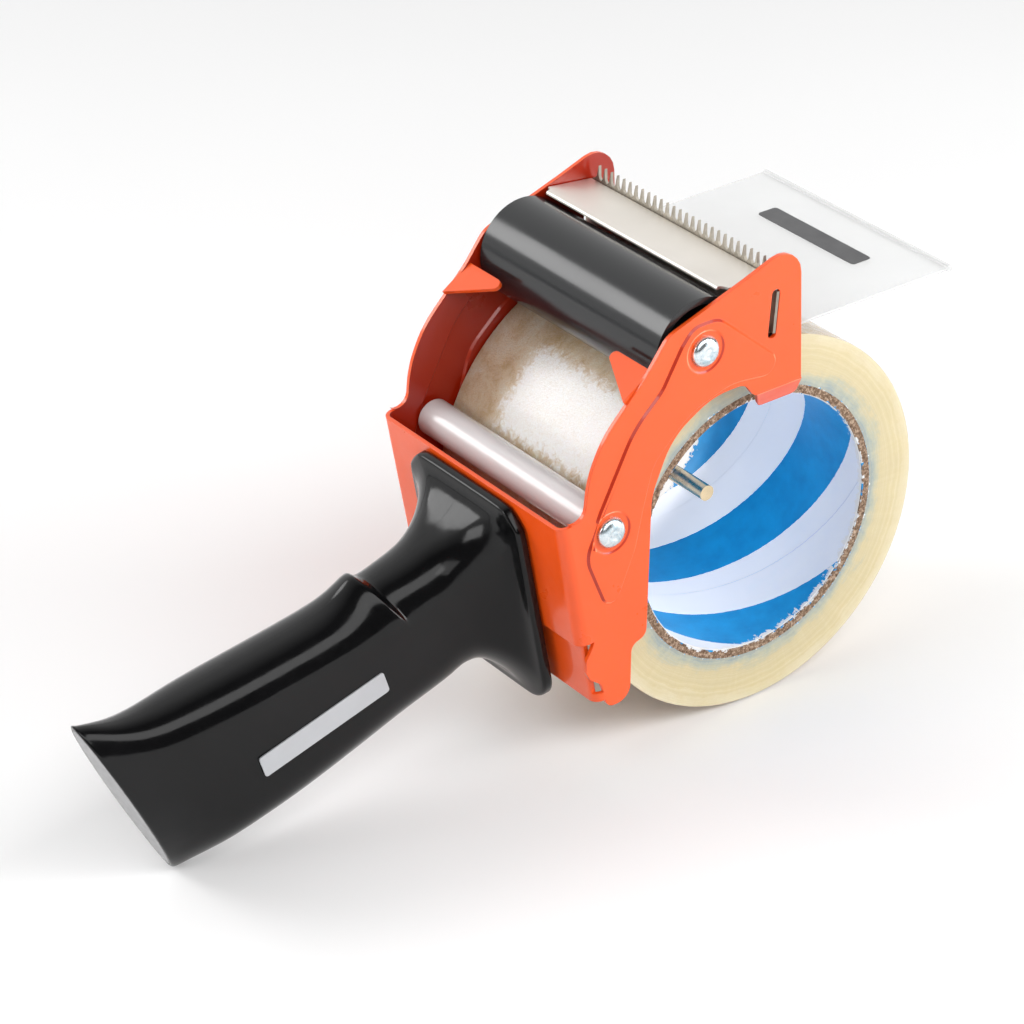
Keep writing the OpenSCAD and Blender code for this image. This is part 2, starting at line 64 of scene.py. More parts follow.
# ================================================================ materials
def new_mat(name):
    """A new node material, its tree and its shader."""
    m = bpy.data.materials.new(name)
    m.use_nodes = True
    nt = m.node_tree
    return m, nt, nt.nodes["Principled BSDF"]


def put(sock, value, nt):
    """Feed a socket from another socket, or set it to a plain value."""
    if isinstance(value, bpy.types.NodeSocket):
        nt.links.new(value, sock)
    else:
        sock.default_value = value


def calc(nt, op, a, b=None, c=None, clamp=False):
    """One arithmetic step between sockets or plain values."""
    n = nt.nodes.new("ShaderNodeMath")
    n.operation = op
    n.use_clamp = clamp
    for i, v in enumerate((a, b, c)):
        if v is not None:
            put(n.inputs[i], v, nt)
    return n.outputs[0]


def coords(nt, scale=(1, 1, 1)):
    """Object coordinates in metres, stretched by scale."""
    tc = nt.nodes.new("ShaderNodeTexCoord")
    mp = nt.nodes.new("ShaderNodeMapping")
    mp.inputs["Scale"].default_value = scale
    nt.links.new(tc.outputs["Object"], mp.inputs["Vector"])
    return mp.outputs["Vector"]


def roll_mm(nt):
    """Coordinates in mm from the roll's axis, as a vector and as x, y, z."""
    tc = nt.nodes.new("ShaderNodeTexCoord")
    mp = nt.nodes.new("ShaderNodeMapping")
    mp.inputs["Scale"].default_value = (1 / MM, 1 / MM, 1 / MM)
    mp.inputs["Location"].default_value = (-AX / MM, 0, -AZ / MM)
    nt.links.new(tc.outputs["Object"], mp.inputs["Vector"])
    s = nt.nodes.new("ShaderNodeSeparateXYZ")
    nt.links.new(mp.outputs["Vector"], s.inputs[0])
    return mp.outputs["Vector"], s.outputs[0], s.outputs[1], s.outputs[2]


def radius(nt, x, z):
    """Distance from the roll's axis."""
    return calc(nt, "SQRT", calc(nt, "MULTIPLY_ADD", x, x, calc(nt, "MULTIPLY", z, z)))


def vec(nt, x, y, z):
    """Three sockets or plain values as one vector."""
    n = nt.nodes.new("ShaderNodeCombineXYZ")
    for i, v in enumerate((x, y, z)):
        put(n.inputs[i], v, nt)
    return n.outputs[0]


def noise(nt, v, scale, detail=4, rough=0.5, distortion=0.0):
    """Fractal noise, 0 to 1, with scale features to the unit of v."""
    n = nt.nodes.new("ShaderNodeTexNoise")
    n.inputs["Scale"].default_value = scale
    n.inputs["Detail"].default_value = detail
    n.inputs["Roughness"].default_value = rough
    n.inputs["Distortion"].default_value = distortion
    nt.links.new(v, n.inputs["Vector"])
    return n.outputs["Fac"]


def ramp(nt, fac, stops):
    """A value coloured by (position, colour) stops."""
    r = nt.nodes.new("ShaderNodeValToRGB")
    el = r.color_ramp.elements
    while len(el) > 1:
        el.remove(el[-1])
    el[0].position, el[0].color = stops[0][0], (*stops[0][1], 1)
    for p, c in stops[1:]:
        e = el.new(p)
        e.color = (*c, 1)
    nt.links.new(fac, r.inputs["Fac"])
    return r.outputs["Color"]


def spread(nt, value, low, high):
    """A value taken linearly from low..high to 0..1."""
    n = nt.nodes.new("ShaderNodeMapRange")
    n.inputs["From Min"].default_value = low
    n.inputs["From Max"].default_value = high
    nt.links.new(value, n.inputs["Value"])
    return n.outputs["Result"]


def mix(nt, fac, a, b):
    """Colour a turning into colour b as fac goes from 0 to 1."""
    n = nt.nodes.new("ShaderNodeMix")
    n.data_type = "RGBA"
    put(n.inputs["Factor"], fac, nt)
    put(n.inputs["A"], a if not isinstance(a, tuple) else (*a, 1), nt)
    put(n.inputs["B"], b if not isinstance(b, tuple) else (*b, 1), nt)
    return n.outputs["Result"]


def grey(v):
    return (v, v, v)


def bump(nt, height, strength, dist, bsdf, into=None):
    """Relief of height times dist metres, laid over the relief that into carries."""
    b = nt.nodes.new("ShaderNodeBump")
    b.inputs["Strength"].default_value = strength
    b.inputs["Distance"].default_value = dist
    nt.links.new(height, b.inputs["Height"])
    if into is not None:
        nt.links.new(into, b.inputs["Normal"])
    nt.links.new(b.outputs["Normal"], bsdf.inputs["Normal"])
    return b.outputs["Normal"]


def varied(name, base, vary, rough, scale=60, bump_s=0.15, bump_d=0.05 * MM, bump_scale=900,
           metallic=0.0, coat=0.0, coat_rough=0.08, spec=0.5, stretch=(1, 1, 1)):
    """A surface whose colour, gloss and relief vary a little; scales are per metre."""
    detail, rough_vary = 5, 0.08
    m, nt, b = new_mat(name)
    v = coords(nt, stretch)
    n1 = noise(nt, v, scale, detail)
    low = tuple(c * (1 - vary) for c in base)
    high = tuple(min(1, c * (1 + vary)) for c in base)
    nt.links.new(ramp(nt, n1, [(0.3, low), (0.7, high)]), b.inputs["Base Color"])
    n2 = noise(nt, v, scale * 2.3, detail)
    nt.links.new(ramp(nt, n2, [(0.3, grey(max(0.02, rough - rough_vary))),
                               (0.7, grey(rough + rough_vary))]), b.inputs["Roughness"])
    n3 = noise(nt, v, bump_scale, 3)
    bump(nt, n3, bump_s, bump_d, b)
    b.inputs["Metallic"].default_value = metallic
    b.inputs["Coat Weight"].default_value = coat
    b.inputs["Coat Roughness"].default_value = coat_rough
    b.inputs["Specular IOR Level"].default_value = spec
    return m, nt, b


def liner_material():
    """Printed paper wound in a helix of blue and white bands, torn at both rims; it glows with
    painted light, most in the far part of the core.
    """
    period, blue_share, blue_start = 42.0, 0.471, -21.4     # mm along the axis, and a share
    pitch = 0.35 * math.degrees(1)                          # mm along the axis per radian
    seam_at, seam_half = 0.80, 0.004                        # shares of the period
    torn_paper = (0.86, 0.85, 0.83)
    m, nt, b = new_mat("liner_print")
    v, x, y, z = roll_mm(nt)
    theta = calc(nt, "ARCTAN2", z, x)
    wobble = calc(nt, "MULTIPLY", calc(nt, "SUBTRACT", noise(nt, v, 0.8, 3), 0.5), 0.5)
    along = calc(nt, "ADD", calc(nt, "MULTIPLY_ADD", theta, pitch, y), wobble)
    above_zero = 10 * period
    turn = calc(nt, "FRACT", calc(nt, "DIVIDE", calc(nt, "ADD", along, above_zero - blue_start),
                                  period))
    is_blue = calc(nt, "LESS_THAN", turn, blue_share)
    cloud = noise(nt, v, 0.12, 4, 0.6)
    grain = noise(nt, v, 3.0, 5, 0.7)
    blue = ramp(nt, cloud, [(0.3, (0.0, 0.25, 0.60)), (0.7, (0.003, 0.34, 0.74))])
    pale = ramp(nt, cloud, [(0.3, (0.84, 0.87, 0.94)), (0.7, (0.90, 0.92, 0.97))])
    seam = calc(nt, "LESS_THAN", calc(nt, "ABSOLUTE", calc(nt, "SUBTRACT", turn, seam_at)),
                seam_half)
    flecks = ramp(nt, noise(nt, v, 1.6, 6, 0.75), [(0.70, grey(0)), (0.74, grey(0.6))])
    col = mix(nt, is_blue, pale, blue)
    col = mix(nt, calc(nt, "MULTIPLY", seam, 0.35), col, (0.35, 0.42, 0.55))
    col = mix(nt, flecks, col, (0.86, 0.88, 0.92))
    r = radius(nt, x, z)
    rag = noise(nt, vec(nt, calc(nt, "DIVIDE", x, r), calc(nt, "MULTIPLY", y, 0.02),
                        calc(nt, "DIVIDE", z, r)), 26, 6, 0.7)
    reach = calc(nt, "MULTIPLY", calc(nt, "SUBTRACT", rag, 0.40), 9)
    for edge in (calc(nt, "SUBTRACT", y, ROLL_NEAR + 0.4), calc(nt, "SUBTRACT", ROLL_FAR, y)):
        torn = calc(nt, "LESS_THAN", edge, reach)
        col = mix(nt, torn, col, torn_paper)
    nt.links.new(col, b.inputs["Base Color"])
    # painted light: the liner glows, most towards the far part of the core, least on the blue bands
    painted_light_share = mix(nt, spread(nt, y, -30.0, 18.0), grey(0.10), mix(nt, is_blue, grey(0.85), grey(0.4)))
    painted_glow = nt.nodes.new("ShaderNodeVectorMath")
    painted_glow.operation = "MULTIPLY"
    nt.links.new(col, painted_glow.inputs[0])
    nt.links.new(painted_light_share, painted_glow.inputs[1])
    nt.links.new(painted_glow.outputs[0], b.inputs["Emission Color"])
    b.inputs["Emission Strength"].default_value = 0.36
    nt.links.new(ramp(nt, grain, [(0.3, grey(0.38)), (0.7, grey(0.55))]), b.inputs["Roughness"])
    n1 = bump(nt, grain, 0.25, 0.05 * MM, b)
    bump(nt, calc(nt, "SUBTRACT", 1.0, seam), 0.6, 0.1 * MM, b, n1)
    return m


def core_material():
    """Grey-brown chipboard, speckled with short fibres."""
    m, nt, b = new_mat("cardboard")
    v, x, y, z = roll_mm(nt)
    speck = noise(nt, v, 1.05, 6, 0.85)
    patch = noise(nt, v, 0.35, 3)
    col = ramp(nt, speck, [(0.36, (0.03, 0.016, 0.010)), (0.5, (0.24, 0.145, 0.09)),
                           (0.62, (0.68, 0.52, 0.39))])
    col = mix(nt, calc(nt, "MULTIPLY", patch, 0.25), col, (0.38, 0.27, 0.19))
    r = radius(nt, x, z)
    frayed = calc(nt, "MULTIPLY_ADD", calc(nt, "SUBTRACT", noise(nt, v, 0.38, 5, 0.75), 0.53),
                  5.5, BORE_R + 0.1)
    paper = mix(nt, calc(nt, "GREATER_THAN", noise(nt, v, 0.16, 2), 0.56), (0.84, 0.86, 0.88),
                (0.01, 0.33, 0.74))     # white, and blue where the band is printed
    nt.links.new(mix(nt, calc(nt, "LESS_THAN", r, frayed), col, paper), b.inputs["Base Color"])
    b.inputs["Roughness"].default_value = 0.9
    b.inputs["Specular IOR Level"].default_value = 0.2
    bump(nt, speck, 0.9, 0.6 * MM, b)
    return m


def tape_material():
    """Clear film wound up: streaked and ringed at its sides, crinkled and glossy outside, with a
    painted highlight patch on the outermost turn.
    """
    m, nt, b = new_mat("tape_clear")
    v, x, y, z = roll_mm(nt)
    r = radius(nt, x, z)
    dx, dz = calc(nt, "DIVIDE", x, r), calc(nt, "DIVIDE", z, r)
    streak = noise(nt, vec(nt, dx, 0.0, dz), 22, 6, 0.7)
    cloud = noise(nt, vec(nt, dx, calc(nt, "MULTIPLY", r, 0.04), dz), 4.2, 5, 0.7)
    drift = calc(nt, "MULTIPLY_ADD", cloud, 3.0, r)
    rings = noise(nt, vec(nt, drift, 0.0, 0.0), 1.1, 6, 0.8)
    depth = spread(nt, calc(nt, "MULTIPLY_ADD", calc(nt, "SUBTRACT", cloud, 0.5), 13.0, r),
                   CORE_R, ROLL_R)
    side = ramp(nt, depth, [(0.0, (0.27, 0.33, 0.33)), (0.15, (0.42, 0.43, 0.33)),
                            (0.32, (0.58, 0.49, 0.28)), (0.7, (0.62, 0.52, 0.29)),
                            (1.0, (0.68, 0.60, 0.40))])
    side = mix(nt, ramp(nt, streak, [(0.45, grey(0)), (0.8, grey(0.18))]), side,
               (0.78, 0.71, 0.48))
    side = mix(nt, ramp(nt, rings, [(0.42, grey(0.30)), (0.5, grey(0))]), side,
               (0.52, 0.43, 0.22))
    side = mix(nt, ramp(nt, rings, [(0.52, grey(0)), (0.66, grey(0.32))]), side,
               (0.80, 0.74, 0.54))
    flake = calc(nt, "LESS_THAN", r, calc(nt, "MULTIPLY_ADD", calc(nt, "SUBTRACT", streak, 0.54),
                                          5.0, CORE_R + 0.1))
    side = mix(nt, flake, side, ramp(nt, noise(nt, v, 1.3, 3), [(0.45, (0.85, 0.86, 0.84)),
                                                             (0.5, (0.02, 0.33, 0.66))]))
    crinkle = noise(nt, v, 1.1, 7, 0.75, 2.2)
    # fine pale lines where a stretched noise crosses its middle
    hair = noise(nt, v, 0.55, 4, 0.7, 3.5)
    hair = calc(nt, "SUBTRACT", 1.0, calc(nt, "MULTIPLY", 14.0, calc(
        nt, "ABSOLUTE", calc(nt, "SUBTRACT", hair, 0.5))), clamp=True)
    haze = noise(nt, v, 0.13, 5, 0.65, 0.6)
    outside = ramp(nt, haze, [(0.3, (0.66, 0.44, 0.22)), (0.5, (0.82, 0.62, 0.38)),
                              (0.72, (0.92, 0.80, 0.60))])
    theta = calc(nt, "MULTIPLY", calc(nt, "ARCTAN2", z, x), math.degrees(1))
    # a painted highlight, white and glowing, where a softbox's reflection would fall: up to
    # far_edge mm along the axis, between two angles about it
    far_edge, low_angle, high_angle = 20.0, 126.5, 152.0
    fray = calc(nt, "MULTIPLY", calc(nt, "SUBTRACT", noise(nt, v, 0.45, 5, 0.7, 0.8), 0.5), 14.0)
    frayed_y, frayed_theta = calc(nt, "ADD", y, fray), calc(nt, "ADD", theta, fray)
    painted_highlight_patch = calc(nt, "MINIMUM", spread(nt, frayed_y, far_edge + 2.0, far_edge - 1.5),
                   calc(nt, "MINIMUM", spread(nt, frayed_theta, low_angle - 2.0, low_angle + 2.0),
                        spread(nt, frayed_theta, high_angle + 2.0, high_angle - 1.5)))
    outside = mix(nt, calc(nt, "MULTIPLY", hair, ramp(nt, haze, [(0.35, grey(0.25)),
                                                                 (0.7, grey(0.9))])),
                  outside, (0.93, 0.88, 0.79))
    painted_highlight_patch = calc(nt, "MULTIPLY", painted_highlight_patch, ramp(nt, hair, [(0.0, grey(0.72)), (1.0, grey(1.0))]))
    outside = mix(nt, painted_highlight_patch, outside, (1.0, 1.0, 0.99))
    is_out = calc(nt, "GREATER_THAN", r, ROLL_R - 0.12)     # the outermost turn
    nt.links.new(mix(nt, is_out, side, outside), b.inputs["Base Color"])
    # the painted highlight also glows, on the outermost turn only
    nt.links.new(mix(nt, calc(nt, "MULTIPLY", is_out, painted_highlight_patch), grey(0.0), grey(1.0)),
                 b.inputs["Emission Color"])
    b.inputs["Emission Strength"].default_value = 0.16
    nt.links.new(ramp(nt, is_out, [(0.0, grey(0.38)), (1.0, grey(0.26))]), b.inputs["Roughness"])
    b.inputs["Coat Weight"].default_value = 1.0
    b.inputs["Coat Roughness"].default_value = 0.26
    b.inputs["Subsurface Weight"].default_value = 0.25
    b.inputs["Subsurface Radius"].default_value = (0.004, 0.003, 0.0015)
    b.inputs["Subsurface Scale"].default_value = 1.0
    n1 = bump(nt, rings, 0.15, 0.08 * MM, b)
    hide = calc(nt, "MULTIPLY", crinkle, is_out)
    bump(nt, hide, 0.9, 0.9 * MM, b, n1)
    return m


def handle_material():
    """Gloss black moulding with a faint parting line along its top."""
    m, nt, b = new_mat("black_plastic")
    v, x, y, z = roll_mm(nt)
    n1 = noise(nt, v, 0.05, 4)
    nt.links.new(ramp(nt, n1, [(0.3, (0.0022, 0.0022, 0.0025)), (0.7, (0.0045, 0.0045, 0.005))]),
                 b.inputs["Base Color"])
    nt.links.new(ramp(nt, noise(nt, v, 0.35, 5, 0.6), [(0.3, grey(0.10)), (0.7, grey(0.19))]),
                 b.inputs["Roughness"])
    fine = noise(nt, v, 1.8, 3)
    wave = noise(nt, v, 0.11, 2)
    parting = calc(nt, "LESS_THAN", calc(nt, "ABSOLUTE", y), 0.12)      # mm each side
    n2 = bump(nt, fine, 0.05, 0.04 * MM, b)
    n3 = bump(nt, wave, 0.25, 0.35 * MM, b, n2)
    bump(nt, calc(nt, "SUBTRACT", 1.0, parting), 0.5, 0.12 * MM, b, n3)
    b.inputs["Specular IOR Level"].default_value = 0.29
    return m


def zinc_material():
    """Bright zinc plate, streaked where it was upset."""
    m, nt, b = new_mat("zinc_steel")
    v = coords(nt)
    patch = noise(nt, v, 420, 5, 0.7, 1.0)
    nt.links.new(ramp(nt, patch, [(0.3, (0.36, 0.50, 0.58)), (0.5, (0.66, 0.74, 0.78)),
                                  (0.7, (0.90, 0.92, 0.92))]), b.inputs["Base Color"])
    nt.links.new(ramp(nt, patch, [(0.3, grey(0.34)), (0.7, grey(0.16))]), b.inputs["Roughness"])
    b.inputs["Metallic"].default_value = 1.0
    bump(nt, noise(nt, v, 700, 4, 0.6), 0.5, 0.12 * MM, b)
    return m


def clear_sheet():
    """Clear film seen almost edge on to the light: a pale grey veil with gloss."""
    m, nt, b = new_mat("flap_clear")
    v = coords(nt)
    nt.links.new(ramp(nt, noise(nt, v, 30, 4), [(0.3, (0.76, 0.77, 0.77)),
                                                (0.7, (0.82, 0.83, 0.83))]),
                 b.inputs["Base Color"])
    nt.links.new(ramp(nt, noise(nt, v, 90, 5), [(0.3, grey(0.06)), (0.7, grey(0.16))]),
                 b.inputs["Roughness"])
    b.inputs["Alpha"].default_value = 0.4
    bump(nt, noise(nt, v, 25, 2), 0.15, 0.5 * MM, b)
    return m


def rolled_edges(nt, b, radius):
    """Shade sharp sheet edges as if they were rounded, as thick paint leaves them."""
    edge = nt.nodes.new("ShaderNodeBevel")
    edge.samples = 6
    edge.inputs["Radius"].default_value = radius
    relief = b.inputs["Normal"].links[0].from_node
    nt.links.new(edge.outputs["Normal"], relief.inputs["Normal"])


def painted_shade_and_highlight(nt, b):
    """Painted shade and highlight: faces between the plates that face in are darkened to deep red;
    pressed slopes get painted shade where they face up or to -x and a painted highlight where they
    face down or to +x.
    """
    inner_y, outer_y = 37.0, 40.95      # mm: within the bends, and just short of the plate
    painted_shade_red, painted_shade_on_slope, painted_highlight_on_slope = (0.40, 0.016, 0.001), (0.50, 0.026, 0.003), (0.98, 0.27, 0.11)
    y = roll_mm(nt)[2]
    geo = nt.nodes.new("ShaderNodeNewGeometry")
    s = nt.nodes.new("ShaderNodeSeparateXYZ")
    nt.links.new(geo.outputs["Normal"], s.inputs[0])
    facing = calc(nt, "MULTIPLY", calc(nt, "SIGN", y), s.outputs[1])
    inside = calc(nt, "MULTIPLY", spread(nt, facing, -0.35, -0.8),
                  calc(nt, "GREATER_THAN", calc(nt, "ABSOLUTE", y), inner_y))
    outer = b.inputs["Base Color"].links[0].from_socket
    # painted shade: inner faces between the plates, facing in, turn deep red
    col = mix(nt, inside, outer, painted_shade_red)
    flat = calc(nt, "ABSOLUTE", s.outputs[1])
    on_plate = calc(nt, "MULTIPLY", calc(nt, "GREATER_THAN", calc(nt, "ABSOLUTE", y), outer_y),
                    calc(nt, "GREATER_THAN", flat, 0.6))
    slope = calc(nt, "MULTIPLY", spread(nt, flat, 0.992, 0.95), on_plate)
    upward = calc(nt, "SUBTRACT", s.outputs[2], s.outputs[0])
    # painted shade on slopes that face up or to -x, painted highlight on slopes that face down or
    # to +x
    col = mix(nt, calc(nt, "MULTIPLY", slope, spread(nt, upward, 0.05, 0.25)), col, painted_shade_on_slope)
    col = mix(nt, calc(nt, "MULTIPLY", slope, spread(nt, upward, -0.05, -0.3)), col, painted_highlight_on_slope)
    nt.links.new(col, b.inputs["Base Color"])


def plain(*args, **kwargs):
    """A varied surface that needs nothing more."""
    return varied(*args, **kwargs)[0]


def paint_material():
    """Glossy orange paint on steel, with a slight orange-peel relief."""
    m, nt, b = varied("orange_paint", (0.90, 0.094, 0.007), 0.04, 0.34, scale=40, bump_s=0.35,
                      bump_d=0.12 * MM, bump_scale=330, coat=0.55, coat_rough=0.06, spec=0.3)
    # painted shade inside the frame and on some pressed slopes, painted highlight on the others
    painted_shade_and_highlight(nt, b)
    rolled_edges(nt, b, 0.45 * MM)
    return m


def milky_material():
    """Translucent plastic tube, faintly clouded along its length."""
    m, _, b = varied("tube_milky", (0.96, 0.93, 0.93), 0.04, 0.24, scale=35, coat=0.5,
                     coat_rough=0.12, bump_s=0.2, bump_scale=200, stretch=(1, 0.2, 1))
    b.inputs["Transmission Weight"].default_value = 0.3
    b.inputs["IOR"].default_value = 1.4
    return m


M = {
    "paint": paint_material(),
    "black": handle_material(),
    "cap": plain("cap_grey", (0.34, 0.34, 0.345), 0.09, 0.45, scale=260, bump_s=0.3),
    "label": plain("label_silver", (0.47, 0.48, 0.50), 0.02, 0.38, scale=160),
    "zinc": zinc_material(),
    "roller": plain("roller_black", (0.010, 0.011, 0.012), 0.2, 0.22, scale=25, bump_s=0.12,
                    bump_scale=500, stretch=(1, 0.25, 1)),
    "bush": plain("bush_black", (0.012, 0.012, 0.013), 0.1, 0.45),
    "nickel": plain("nickel_steel", (0.84, 0.80, 0.74), 0.04, 0.46, metallic=1.0, scale=30,
                    bump_s=0.25, bump_scale=1200),
    "blade": plain("blade_steel", (0.30, 0.275, 0.235), 0.10, 0.5, metallic=1.0, scale=300,
                   bump_s=0.3, bump_scale=1500),
    "steel": plain("steel", (0.82, 0.67, 0.44), 0.10, 0.2, metallic=1.0, scale=150),
    "hub": plain("hub_black", (0.012, 0.012, 0.013), 0.1, 0.4),
    "print": plain("print_grey", (0.075, 0.075, 0.078), 0.1, 0.4),
    "card": core_material(),
    "liner": liner_material(),
    "tape": tape_material(),
    "clear": clear_sheet(),
    "milky": milky_material(),
}

NODE_MAT = {
    "frame": "paint", "handle": "black", "butt_cap": "cap", "handle_label": "label",
    "handle_screws": "zinc", "press_axle": "zinc", "press_roller": "roller",
    "press_bushes": "bush", "guide_axle": "zinc", "guide_roller": "milky", "blade": "blade",
    "blade_plate": "nickel", "blade_rivets": "zinc", "flap_clip": "bush", "flap": "clear",
    "flap_lip": "clear", "flap_print": "print", "spindle": "steel", "hub": "hub",
    "hub_clip": "zinc", "core": "card", "core_liner": "liner", "tape": "tape",
}
for n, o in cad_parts.items():
    o.data.materials.clear()
    o.data.materials.append(M[NODE_MAT[n]])


# ================================================================ mesh helpers
def new_object(name, bm, mat):
    """A smooth-shaded object from a bmesh, which is freed."""
    bmesh.ops.recalc_face_normals(bm, faces=bm.faces)
    me = bpy.data.meshes.new(name)
    bm.to_mesh(me)
    bm.free()
    for p in me.polygons:
        p.use_smooth = True
    me.materials.append(M[mat])
    o = bpy.data.objects.new(name, me)
    scene.collection.objects.link(o)
    return o


def skin(bm, rings):
    """Join closed rings of points, each as long as the last, with quads."""
    rows = [[bm.verts.new(p) for p in ring] for ring in rings]
    count = len(rows[0])
    for a, b in zip(rows, rows[1:]):
        for i in range(count):
            j = (i + 1) % count
            bm.faces.new((a[i], a[j], b[j], b[i]))
    return rows


# ================================================================ handle
CORNER_STEPS, SIDE_STEPS, FLAT_STEPS = 8, 7, 2


def arc(cy, ce, r, start):
    """A quarter circle about (cy, ce), from an angle of start degrees."""
    return [(cy + r * math.cos(math.radians(start + 90 * i / CORNER_STEPS)),
             ce + r * math.sin(math.radians(start + 90 * i / CORNER_STEPS)))
            for i in range(CORNER_STEPS + 1)]


def between(a, b, steps):
    """Points that divide a to b evenly, both ends left out."""
    return [(a[0] + (b[0] - a[0]) * i / (steps + 1), a[1] + (b[1] - a[1]) * i / (steps + 1))
            for i in range(1, steps + 1)]


def outline(high, half, r_top, r_low):
    """A rounded box about its middle: corners, long sides and short flats, in (y, e)."""
    tr = arc(half - r_top, high - r_top, r_top, 0)
    tl = arc(r_top - half, high - r_top, r_top, 90)
    bl = arc(r_low - half, r_low - high, r_low, 180)
    br = arc(half - r_low, r_low - high, r_low, 270)
    return (tr + between(tr[-1], tl[0], FLAT_STEPS) + tl + between(tl[-1], bl[0], SIDE_STEPS)
            + bl + between(bl[-1], br[0], FLAT_STEPS) + br + between(br[-1], tr[0], SIDE_STEPS))


def lens_half(e, high, half):
    """Half width of the lens-shaped end of the grip, at a height e from its middle."""
    return half * max(0.0, 1 - (e / high) ** 2) ** 0.56


def step(a, b, t):
    """A smooth rise from 0 to 1 as t goes from a to b."""
    t = min(1, max(0, (t - a) / (b - a)))
    return t * t * (3 - 2 * t)


def grip_ring(top, low, half, lens=0.0, lift=0.0, waist=0.0, shrink=0.0, out=0.0):
    """One section of the grip, between its top and low points in the plane of symmetry.

    half is its half width, lens the share of the lens shape, lift the shoulder's rise and waist
    its drawing-in; shrink and out set a ring in from the section and past its plane.
    """
    lift_reach, roundness, high_to_half = 11, 0.94, 1.6
    t, b = Vector((top[0], 0, top[1])), Vector((low[0], 0, low[1]))
    e_dir = (t - b).normalized()
    away = Vector((-e_dir.z, 0, e_dir.x))
    mid, high = (t + b) / 2, (t - b).length / 2
    pts = []
    for y, e in outline(high, half, half * roundness, half * roundness):
        if lens:
            y = (1 - lens) * y + lens * math.copysign(lens_half(e, high, half), y)
        y *= (half - shrink) / half
        e *= (high - high_to_half * shrink) / high
        upper = step(-0.15, 0.85, e / high)
        e += lift * upper * math.cos(min(1.0, abs(y) / lift_reach) * math.pi / 2) ** 1.3
        y *= 1 - waist * step(0.3, 0.95, e / high) / half
        p = mid + e_dir * e + Vector((0, y, 0)) + away * out
        pts.append(at(*p))
    return pts


# the rear wall's outer face: its upper edge in mm from the roll's axis, and its lean
WALL_AT, WALL_LEAN = Vector((-72.3, 0, 28.2)), math.radians(8.2)
DOWN = Vector((math.sin(WALL_LEAN), 0, -math.cos(WALL_LEAN)))
BACK = Vector((-math.cos(WALL_LEAN), 0, -math.sin(WALL_LEAN)))
FLANGE_LONG, FLANGE_HALF, FLANGE_T = 63.0, 25.0, 3.4
TOP_CORNER, LOW_CORNER, BELOW_EDGE = 6, 9, 1


def flange_ring(inset, proud):
    """The flange's outline, shrunk by inset, at a height proud of the rear wall."""
    bevelled = 0.75         # how far the top corners go from an arc to a straight cut
    high = FLANGE_LONG / 2
    cut = TOP_CORNER - inset * 0.5
    pts = []
    for y, e in outline(high - inset, FLANGE_HALF - inset, cut, LOW_CORNER - inset * 0.5):
        past_y = abs(y) - (FLANGE_HALF - inset - cut)
        past_e = e - (high - inset - cut)
        if past_y > 0 and past_e > 0:
            share = past_y / (past_y + past_e)
            chord = (cut * share, cut * (1 - share))
            y = math.copysign(abs(y) + (chord[0] - past_y) * bevelled, y)
            e += (chord[1] - past_e) * bevelled
        along_wall = DOWN * (high + BELOW_EDGE - e)
        pts.append(at(*(WALL_AT + along_wall + BACK * proud + Vector((0, y, 0)))))
    return pts


def hermite(p0, p1, t0, t1, t):
    """A point at share t of the curve from p0 to p1 that leaves along t0 and arrives along t1."""
    a, b = 2 * t ** 3 - 3 * t ** 2 + 1, t ** 3 - 2 * t ** 2 + t
    c, d = -2 * t ** 3 + 3 * t ** 2, t ** 3 - t ** 2
    return p0 * a + t0 * b + p1 * c + t1 * d


